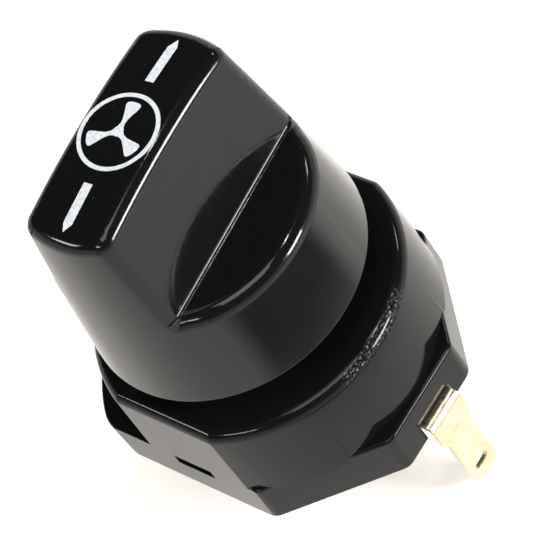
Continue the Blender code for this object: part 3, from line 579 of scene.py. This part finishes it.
def make_terminal(name, contact_angle, offset, outer_face, facing, tinned):
    """A stamped blade: strip under its contact, folded down outside the wall, with a soldering hole."""
    angle = math.radians(contact_angle)
    contact = (CONTACT_CIRCLE * math.cos(angle), CONTACT_CIRCLE * math.sin(angle))
    reach = outer_face - abs(contact[0])
    outline, hole_at = blade_outline(reach)
    shape = prism(outline, STRIP_TOP - STRIP, STRIP_TOP)
    low, high = STRIP_TOP - STRIP - 1 * MM, STRIP_TOP + 1 * MM
    hole = arc((hole_at, HOLE_HALF_LENGTH), HOLE_RADIUS, 0, 180, 12)
    hole += arc((hole_at, -HOLE_HALF_LENGTH), HOLE_RADIUS, 180, 360, 12)
    shape = cut(shape, prism(hole, low, high))
    rivet = (0, contact[1] - offset)
    shape = cut(shape, prism(circle(rivet, RIVET_HOLE, 28), low, high))
    for height in (STRIP_TOP, STRIP_TOP - STRIP):
        bevel(shape, edges_at(shape, height, 60), STRIP_EDGE, 2)
    bend = math.pi / 2 * (BEND_RADIUS - STRIP / 2)
    bisected(shape, steps_between(reach - BEND_RADIUS, reach - BEND_RADIUS + bend, 14), (1, 0, 0))
    bend_down(shape, reach)
    place = Matrix.Translation((contact[0], offset, 0)) @ Matrix.Diagonal((facing, 1, 1, 1))
    finished("blade_" + name.split("_")[1], move(shape, place), tinned, "housing", "tinned_brass", name)


def make_terminals(tinned):
    make_terminal("terminal_line", 0, 0.5 * MM, 25.3 * MM, 1, tinned)
    make_terminal("terminal_low", 135, 7 * MM, 27.5 * MM, -1, tinned)
    make_terminal("terminal_high", 225, -7 * MM, 27.5 * MM, -1, tinned)


# ---- metalwork at the neck ----------------------------------------------------------------------
def make_bushing(brass):
    """Brass bushing with a rolled thread, a flange under the roof and a pocket for the seal."""
    top, bottom = bushing_high.z, bushing_low.z
    flange_top, pocket = bottom + BUSHING_FLANGE_THICK, top - SEAL_DEPTH
    thread_low, thread_high = flange_top + THREAD_FOOT, top - THREAD_HEAD
    levels = steps_between(thread_low, thread_high, 60)
    profile = [(SEAL_POCKET, top), (THREAD - THREAD_DEPTH, top)] + [(THREAD, z) for z in reversed(levels)]
    profile += [(THREAD, flange_top), (BUSHING_FLANGE - BUSHING_CHAMFER, flange_top),
                (BUSHING_FLANGE, flange_top - BUSHING_CHAMFER), (BUSHING_FLANGE, bottom),
                (BUSHING_BORE, bottom), (BUSHING_BORE, pocket), (SEAL_POCKET, pocket)]
    bushing = turned(profile, 96)
    for vertex in bushing.verts:
        x, y, z = vertex.co
        radius = math.hypot(x, y)
        if abs(radius - THREAD) < 0.01 * MM and thread_low <= z <= thread_high:
            phase = (z / THREAD_PITCH - math.atan2(y, x) / math.tau) % 1
            fade = min(1, (z - thread_low) / THREAD_PITCH, (thread_high - z) / THREAD_PITCH)
            sink = THREAD_DEPTH * (1 - abs(2 * phase - 1)) * fade
            vertex.co.xy *= (radius - sink) / radius
    finished("bushing_thread", bushing, brass, "housing", "nickel_brass", "threaded_bushing", crease=60)


def make_nut(brass):
    """Thin hexagon nut, chamfered on top and bottom, with a plain bore chamfered at both ends."""
    corner = NUT_ACROSS_FLATS / math.sqrt(3)
    inner, outer = corner - NUT_FACE_INSET, corner + 1 * MM
    low, high = nut_low.z, nut_high.z
    nut = prism(arc((0, 0), corner, NUT_TURN, NUT_TURN + 360, 6)[:-1], low, high)
    for height, sense in ((high, 1), (low, -1)):
        outside = height + sense * 1 * MM
        ring = [(inner, height + sense * NUT_FACE_SKIM), (outer, height - sense * NUT_CHAMFER_DROP),
                (outer, outside), (inner, outside)]
        nut = cut(nut, turned(ring, 120))
    below, above = low - 1 * MM, high + 1 * MM
    bore = [(0, below), (NUT_BORE_EDGE, below), (NUT_BORE, low + NUT_BORE_CHAMFER),
            (NUT_BORE, (low + high) / 2), (NUT_BORE, high - NUT_BORE_CHAMFER),
            (NUT_BORE_EDGE, above), (0, above)]
    nut = cut(nut, turned(bore, 96))
    finished("hexagon_nut", nut, brass, "housing", "nickel_brass", "panel_nut", crease=25)


def make_washer(steel):
    """Internal-tooth washer whose teeth are twisted out of its plane."""
    low, high = washer_low.z, washer_high.z
    middle, pitch = (low + high) / 2, 360 / TEETH
    bottom, top = middle - WASHER_HALF_THICK, middle + WASHER_HALF_THICK
    washer = prism(circle((0, 0), WASHER_RADIUS, 140), bottom, top)
    star = []
    for tooth in range(TEETH):
        start = 360 * tooth / TEETH
        star += arc((0, 0), TOOTH_TIP, start, start + pitch * 0.5, 4)
        star += arc((0, 0), TOOTH_ROOT, start + pitch * 0.62, start + pitch * 0.88, 4)
    washer = cut(washer, prism(star, low - 1 * MM, high + 1 * MM))
    for height in (bottom, top):
        bevel(washer, edges_at(washer, height, 60), WASHER_EDGE, 1)
    for vertex in washer.verts:
        x, y, _ = vertex.co
        inward = max(0.0, min(1.0, (TWIST_FROM - math.hypot(x, y)) / TWIST_RUN))
        swing = (math.degrees(math.atan2(y, x)) % pitch) / pitch
        vertex.co.z += (swing - 0.25) * 4 * TOOTH_TWIST * inward if swing < 0.56 else 0
    finished("toothed_washer", washer, steel, "housing", "zinc_steel", "lock_washer", crease=30)


# ---- materials ----------------------------------------------------------------------------------
class Finish:
    """A node material built up from patterns measured in millimetres."""

    def __init__(self, name, colour, roughness, metallic=0.0):
        self.material = bpy.data.materials.new(name)
        self.material.use_nodes = True
        self.tree = self.material.node_tree
        self.shader = self.tree.nodes["Principled BSDF"]
        self.shader.inputs["Metallic"].default_value = metallic
        self.shader.inputs["Roughness"].default_value = roughness
        self.shader.inputs["Base Color"].default_value = (*colour, 1)
        place = self.tree.nodes.new("ShaderNodeTexCoord")
        scale = self.tree.nodes.new("ShaderNodeMapping")
        scale.inputs["Scale"].default_value = (1000, 1000, 1000)
        self.tree.links.new(place.outputs["Object"], scale.inputs["Vector"])
        self.where = scale.outputs["Vector"]

    def put(self, socket, value):
        if isinstance(value, (int, float)):
            socket.default_value = value
        elif isinstance(value, tuple):
            socket.default_value = value if len(value) == len(socket.default_value) else (*value, 1)
        else:
            self.tree.links.new(value, socket)

    def noise(self, scale, detail=4.0, rough=0.55, stretch=None):
        node = self.tree.nodes.new("ShaderNodeTexNoise")
        self.put(node.inputs["Vector"], self.stretched(stretch) if stretch else self.where)
        node.inputs["Scale"].default_value = scale
        node.inputs["Detail"].default_value = detail
        node.inputs["Roughness"].default_value = rough
        return node.outputs["Fac"]

    def stretched(self, by, turn=(0, 0, 0)):
        node = self.tree.nodes.new("ShaderNodeMapping")
        self.put(node.inputs["Vector"], self.where)
        node.inputs["Scale"].default_value = by
        node.inputs["Rotation"].default_value = turn
        return node.outputs["Vector"]

    def grains(self, scale):
        node = self.tree.nodes.new("ShaderNodeTexVoronoi")
        self.put(node.inputs["Vector"], self.where)
        node.inputs["Scale"].default_value = scale
        return node.outputs["Distance"], node.outputs["Color"]

    def lines(self, scale, stretch, turn, distortion):
        node = self.tree.nodes.new("ShaderNodeTexNoise")
        self.put(node.inputs["Vector"], self.stretched(stretch, turn))
        node.inputs["Scale"].default_value = scale
        node.inputs["Detail"].default_value = 3
        node.inputs["Distortion"].default_value = distortion
        return node.outputs["Fac"]

    def between(self, value, low, high, to_low=0.0, to_high=1.0):
        node = self.tree.nodes.new("ShaderNodeMapRange")
        node.interpolation_type = "SMOOTHSTEP"
        for key, number in (("From Min", low), ("From Max", high), ("To Min", to_low), ("To Max", to_high)):
            node.inputs[key].default_value = number
        self.put(node.inputs["Value"], value)
        return node.outputs["Result"]

    def sum(self, first, second, operation="ADD"):
        node = self.tree.nodes.new("ShaderNodeMath")
        node.operation = operation
        self.put(node.inputs[0], first)
        self.put(node.inputs[1], second)
        return node.outputs["Value"]

    def length(self, across, along):
        """How far a point is from the middle, from its two distances."""
        squares = self.sum(self.sum(across, across, "MULTIPLY"), self.sum(along, along, "MULTIPLY"))
        return self.sum(squares, 0.5, "POWER")

    def mixed(self, share, first, second):
        node = self.tree.nodes.new("ShaderNodeMix")
        node.data_type = "RGBA"
        self.put(node.inputs["Factor"], share)
        for socket, colour in ((node.inputs[6], first), (node.inputs[7], second)):
            self.put(socket, colour)
        return node.outputs[2]

    def along(self, axis):
        node = self.tree.nodes.new("ShaderNodeSeparateXYZ")
        self.put(node.inputs["Vector"], self.where)
        return node.outputs[axis]

    def colour(self, value):
        self.put(self.shader.inputs["Base Color"], value)

    def roughness(self, value):
        self.put(self.shader.inputs["Roughness"], value)

    def bump(self, height, depth, strength=1.0):
        node = self.tree.nodes.new("ShaderNodeBump")
        node.inputs["Strength"].default_value = strength
        node.inputs["Distance"].default_value = depth * MM
        self.put(node.inputs["Height"], height)
        self.put(self.shader.inputs["Normal"], node.outputs["Normal"])


def scratches(finish):
    """Sparse hairlines in three directions, from 0 to 1."""
    marks = None
    for turn, seed in ((0.5, 1.0), (1.9, 1.7), (2.7, 0.6)):
        lines = finish.lines(1.1, (seed * 0.35, 6.0, 6.0), (0.4 * seed, 0.3, turn), 0.25)
        thin = finish.between(lines, 0.725, 0.76)
        marks = thin if marks is None else finish.sum(marks, thin, "MAXIMUM")
    patches = finish.between(finish.noise(0.16, 2), 0.45, 0.62)
    return finish.sum(marks, patches, "MULTIPLY")


def dust(finish, size=0.075):
    """A few round specks, from 0 to 1."""
    distance, colour = finish.grains(2.2)
    chosen = finish.tree.nodes.new("ShaderNodeSeparateColor")
    finish.put(chosen.inputs["Color"], colour)
    few = finish.between(chosen.outputs["Red"], 0.82, 0.84)
    return finish.sum(finish.between(distance, size, size * 0.6), few, "MULTIPLY")


def gloss_black(name, scuffed_and_highlit_edge=False):
    finish = Finish(name, (0.006, 0.0065, 0.0065), 0.16)
    finish.shader.inputs["Specular IOR Level"].default_value = 0.2 if scuffed_and_highlit_edge else 0.3
    hairlines, specks = scratches(finish), dust(finish)
    haze = finish.between(finish.noise(0.22, 5), 0.3, 0.75, 0.07, 0.14)
    rough = finish.sum(haze, finish.sum(hairlines, 0.18, "MULTIPLY"))
    rough = finish.sum(rough, finish.sum(specks, 0.35, "MULTIPLY"))
    black, rubbed = (0.0055, 0.0062, 0.0062), (0.25, 0.25, 0.24)
    base = finish.mixed(finish.sum(hairlines, 0.12, "MULTIPLY"), black, rubbed)
    base = finish.mixed(finish.sum(specks, 0.5, "MULTIPLY"), base, (0.30, 0.30, 0.29))
    if scuffed_and_highlit_edge:
        # pale flecks on the front of the step's rim: partly scuffs, partly a painted highlight
        scuff_and_highlight = step_scuffs_and_highlight(finish)
        base = finish.mixed(scuff_and_highlight, base, (0.45, 0.45, 0.44))
        rough = finish.sum(rough, finish.sum(scuff_and_highlight, 0.5, "MULTIPLY"))
    finish.colour(base)
    finish.roughness(rough)
    peel = finish.sum(finish.noise(1.4, 3), finish.sum(hairlines, -0.35, "MULTIPLY"))
    finish.bump(peel, 0.010, 0.5)
    return finish.material


def step_scuffs_and_highlight(finish):
    """Pale flecks along the front part of the step's rounded edge: partly rubbed scuffs, partly a painted
    highlight on the rim.
    """
    x, y, z = finish.along("X"), finish.along("Y"), finish.along("Z")
    across = finish.sum(x, -STEP_CENTRE / MM)
    radius = finish.length(across, y)
    band = finish.sum(finish.between(radius, 20.6, 21.1), finish.between(radius, 22.0, 21.8), "MULTIPLY")
    band = finish.sum(band, finish.between(z, -1.6, -0.9), "MULTIPLY")
    front = finish.sum(finish.between(x, 19.5, 20.5), finish.between(y, 8.5, 6.0), "MULTIPLY")
    front = finish.sum(front, finish.between(y, -7.0, -4.5), "MULTIPLY")
    flecks = finish.between(finish.noise(3.4, 8, 0.8, stretch=(1.4, 0.7, 1)), 0.55, 0.63)
    return finish.sum(finish.sum(band, front, "MULTIPLY"), flecks, "MULTIPLY")


def satin_plastic(name, dark, light, roughness, grain=3.0):
    finish = Finish(name, dark, roughness)
    finish.colour(finish.mixed(finish.between(finish.noise(0.5, 6), 0.3, 0.7), dark, light))
    finish.roughness(finish.between(finish.noise(1.5, 5), 0.3, 0.7, roughness - 0.07, roughness + 0.08))
    finish.bump(finish.noise(grain, 6, 0.6), 0.02, 0.5)
    return finish.material


def plated_metal(name, clean, dull, roughness, stain=None, brushed=(1, 1, 1)):
    """Metal with soft tarnish, fine working marks and a little uneven plating."""
    finish = Finish(name, clean, roughness, metallic=1.0)
    tarnish = finish.between(finish.noise(0.45, 7, 0.6), 0.42, 0.68)
    base = finish.mixed(tarnish, clean, dull)
    if stain:
        spots = finish.between(finish.noise(1.6, 6, 0.7), 0.63, 0.72)
        base = finish.mixed(spots, base, stain)
    finish.colour(base)
    marks = finish.noise(2.0, 5, 0.6, stretch=brushed)
    finish.roughness(finish.between(marks, 0.25, 0.75, roughness - 0.08, roughness + 0.12))
    finish.bump(marks, 0.008, 0.5)
    return finish.material


def tinned_blade(name):
    """Pale tin over brass, rubbed through to orange-brown in scattered spots."""
    finish = Finish(name, (0.80, 0.72, 0.56), 0.3, metallic=1.0)
    cloudy = finish.between(finish.noise(0.35, 6, 0.6), 0.35, 0.7)
    base = finish.mixed(cloudy, (0.82, 0.73, 0.56), (0.74, 0.60, 0.40))
    spots = finish.between(finish.noise(1.3, 6, 0.7), 0.64, 0.74)
    base = finish.mixed(spots, base, (0.45, 0.25, 0.10))
    finish.colour(base)
    marks = finish.noise(1.6, 5, 0.6, stretch=(1, 1, 7))
    finish.roughness(finish.between(marks, 0.25, 0.75, 0.24, 0.44))
    finish.bump(marks, 0.01, 0.5)
    return finish.material


def white_ink(name):
    finish = Finish(name, (0.86, 0.88, 0.90), 0.45)
    mottle = finish.between(finish.noise(2.4, 6, 0.65), 0.35, 0.62)
    base = finish.mixed(mottle, (0.68, 0.72, 0.76), (0.92, 0.94, 0.96))
    pits = finish.between(finish.noise(5.5, 4, 0.7), 0.66, 0.72)
    finish.colour(finish.mixed(pits, base, (0.16, 0.17, 0.18)))
    finish.roughness(finish.between(finish.noise(3.0, 4), 0.3, 0.7, 0.38, 0.6))
    finish.bump(finish.noise(4.0, 5), 0.008, 0.6)
    return finish.material


def dress_cad_nodes():
    """Give every carried-over node its own finish."""
    steel = plated_metal("zinc_plated_steel", (0.60, 0.61, 0.62), (0.38, 0.38, 0.37), 0.32,
                         (0.30, 0.24, 0.16))
    spring = plated_metal("spring_steel_wire", (0.44, 0.45, 0.47), (0.26, 0.26, 0.27), 0.3, None, (3, 3, 1))
    ball = plated_metal("ground_ball_steel", (0.62, 0.63, 0.65), (0.50, 0.50, 0.51), 0.16)
    copper = plated_metal("hard_copper", (0.72, 0.38, 0.24), (0.42, 0.20, 0.12), 0.33, (0.20, 0.10, 0.07))
    silver = plated_metal("contact_silver", (0.84, 0.83, 0.80), (0.58, 0.56, 0.52), 0.28)
    nylon = satin_plastic("natural_nylon", (0.50, 0.46, 0.36), (0.64, 0.60, 0.50), 0.45)
    acetal = satin_plastic("grey_acetal", (0.20, 0.21, 0.22), (0.28, 0.29, 0.30), 0.4)
    fibre = satin_plastic("vulcanised_fibre", (0.24, 0.06, 0.035), (0.36, 0.11, 0.06), 0.6, 6.0)
    rubber = satin_plastic("nitrile_rubber", (0.012, 0.012, 0.012), (0.03, 0.03, 0.03), 0.6, 5.0)
    cover = satin_plastic("satin_black_nylon", (0.010, 0.010, 0.011), (0.022, 0.022, 0.022), 0.42)
    finishes = {"spindle": steel, "spindle_circlip": spring, "spindle_o_ring": rubber,
                "knob_spring_clip": spring, "index_ring": acetal, "thrust_washer": fibre, "rotor": nylon,
                "detent_ball_1": ball, "detent_ball_2": ball, "detent_spring_1": spring,
                "detent_spring_2": spring, "contact_spring": spring, "contact_bridge": copper,
                "contact_rivet_line": silver, "contact_rivet_low": silver, "contact_rivet_high": silver,
                "rear_cover": cover}
    for node, finish in finishes.items():
        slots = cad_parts[node].data.materials
        slots.clear()
        slots.append(finish)
    return steel


# ---- studio -------------------------------------------------------------------------------------
def make_floor():
    shape = bmesh.new()
    bmesh.ops.create_grid(shape, x_segments=1, y_segments=1, size=3)
    lifted(shape, cad_low.z - 1 * MM)
    floor = as_object("floor", shape)
    finish = Finish("white_paper", (0.9, 0.9, 0.9), 0.9)
    finish.colour(finish.mixed(finish.noise(0.02, 3), (0.90, 0.87, 0.83), (0.94, 0.91, 0.87)))
    finish.shader.inputs["Emission Color"].default_value = (1, 0.95, 0.88, 1)
    finish.shader.inputs["Emission Strength"].default_value = 0.55
    floor.data.materials.append(finish.material)


def soft_box(name, azimuth, elevation, distance, size, power, aim=Vector((0, 0, 0.01))):
    """A rectangular lamp; azimuth 0 stands at -Y and 90 at +X."""
    a, e = math.radians(azimuth), math.radians(elevation)
    back = Vector((math.sin(a) * math.cos(e), -math.cos(a) * math.cos(e), math.sin(e)))
    data = bpy.data.lights.new(name, "AREA")
    data.shape = "RECTANGLE"
    data.size, data.size_y = size
    data.energy = power
    lamp = bpy.data.objects.new(name, data)
    lamp.location = aim + back * distance
    lamp.rotation_euler = back.to_track_quat("Z", "Y").to_euler()
    bpy.context.scene.collection.objects.link(lamp)


def make_studio():
    """Pale walls up to a low height and a dark ceiling, with soft boxes round the front."""
    world = bpy.data.worlds.new("studio")
    bpy.context.scene.world = world
    world.use_nodes = True
    tree = world.node_tree
    place = tree.nodes.new("ShaderNodeTexCoord")
    split = tree.nodes.new("ShaderNodeSeparateXYZ")
    tree.links.new(place.outputs["Generated"], split.inputs["Vector"])
    fade = tree.nodes.new("ShaderNodeMapRange")
    fade.interpolation_type = "SMOOTHSTEP"
    for key, number in (("From Min", WALLS_TO), ("From Max", CEILING_FROM),
                        ("To Min", WALL_LIGHT), ("To Max", CEILING_LIGHT)):
        fade.inputs[key].default_value = number
    tree.links.new(split.outputs["Z"], fade.inputs["Value"])
    tree.links.new(fade.outputs["Result"], tree.nodes["Background"].inputs["Strength"])
    tree.nodes["Background"].inputs["Color"].default_value = (1, 1, 1, 1)
    soft_box("right_box", 113, 20, 0.7, (0.22, 0.16), 5.0)
    soft_box("right_strip", 172, 72, 0.7, (0.10, 0.02), 0.4)
    soft_box("front_box", 5, 42, 0.7, (0.20, 0.05), 0.9)
    soft_box("left_box", 322, 34, 0.7, (0.18, 0.08), 0.9)
    soft_box("back_box", 180, 40, 0.8, (0.14, 0.05), 0.5)
    soft_box("overhead_box", 66, 80, 0.8, (0.35, 0.35), 1.7)


def make_reflected_shade_card():
    """A dark soft-edged card on the floor in front, seen only in reflections: painted shade for the glossy
    walls to reflect.
    """
    shape = bmesh.new()
    bmesh.ops.create_grid(shape, x_segments=1, y_segments=1, size=CARD_HALF)
    card = as_object("card", lifted(shape, cad_low.z - 0.8 * MM))        # 0.2 mm above the floor
    # painted shade: a dark patch in front of the part that only the glossy walls reflect
    finish = Finish("reflected_shade_card", (0.01, 0.01, 0.01), 1.0)
    x, y = finish.along("X"), finish.along("Y")
    distance = finish.length(x, y)
    bearing = finish.sum(y, x, "ARCTAN2")
    ring = finish.sum(finish.between(distance, 44, 68), finish.between(distance, 96, 86), "MULTIPLY")
    fan = finish.sum(finish.between(bearing, -0.95, -0.55), finish.between(bearing, 0.85, 0.5), "MULTIPLY")
    finish.put(finish.shader.inputs["Alpha"], finish.sum(finish.sum(ring, fan, "MULTIPLY"), 0.92, "MULTIPLY"))
    card.data.materials.append(finish.material)
    card.visible_camera = card.visible_diffuse = card.visible_shadow = card.visible_transmission = False


def make_camera():
    data = bpy.data.cameras.new("camera")
    data.lens, data.sensor_width = LENS, SENSOR
    camera = bpy.data.objects.new("camera", data)
    forward = Vector(CAMERA_FORWARD).normalized()
    side = forward.cross(Vector(CAMERA_UP)).normalized()
    turn = Matrix((side, side.cross(forward), -forward)).transposed().to_4x4()
    camera.matrix_world = Matrix.Translation(CAMERA_AT) @ turn
    bpy.context.scene.collection.objects.link(camera)
    bpy.context.scene.camera = camera


def main():
    bpy.context.scene.view_settings.view_transform = "Standard"
    black = gloss_black("gloss_black_plastic")
    rubbed_and_highlit = gloss_black("gloss_black_rubbed_highlit_plastic", scuffed_and_highlit_edge=True)
    ink = white_ink("white_print_ink")
    brass = plated_metal("nickel_plated_brass", (0.66, 0.62, 0.53), (0.44, 0.40, 0.31), 0.26,
                         (0.35, 0.24, 0.12))
    tinned = tinned_blade("tinned_brass")
    steel = dress_cad_nodes()
    make_camera()
    make_knob(black)
    make_print(ink)
    make_housing(rubbed_and_highlit)
    make_terminals(tinned)
    make_bushing(brass)
    make_nut(brass)
    make_washer(steel)
    make_floor()
    make_reflected_shade_card()
    make_studio()


main()
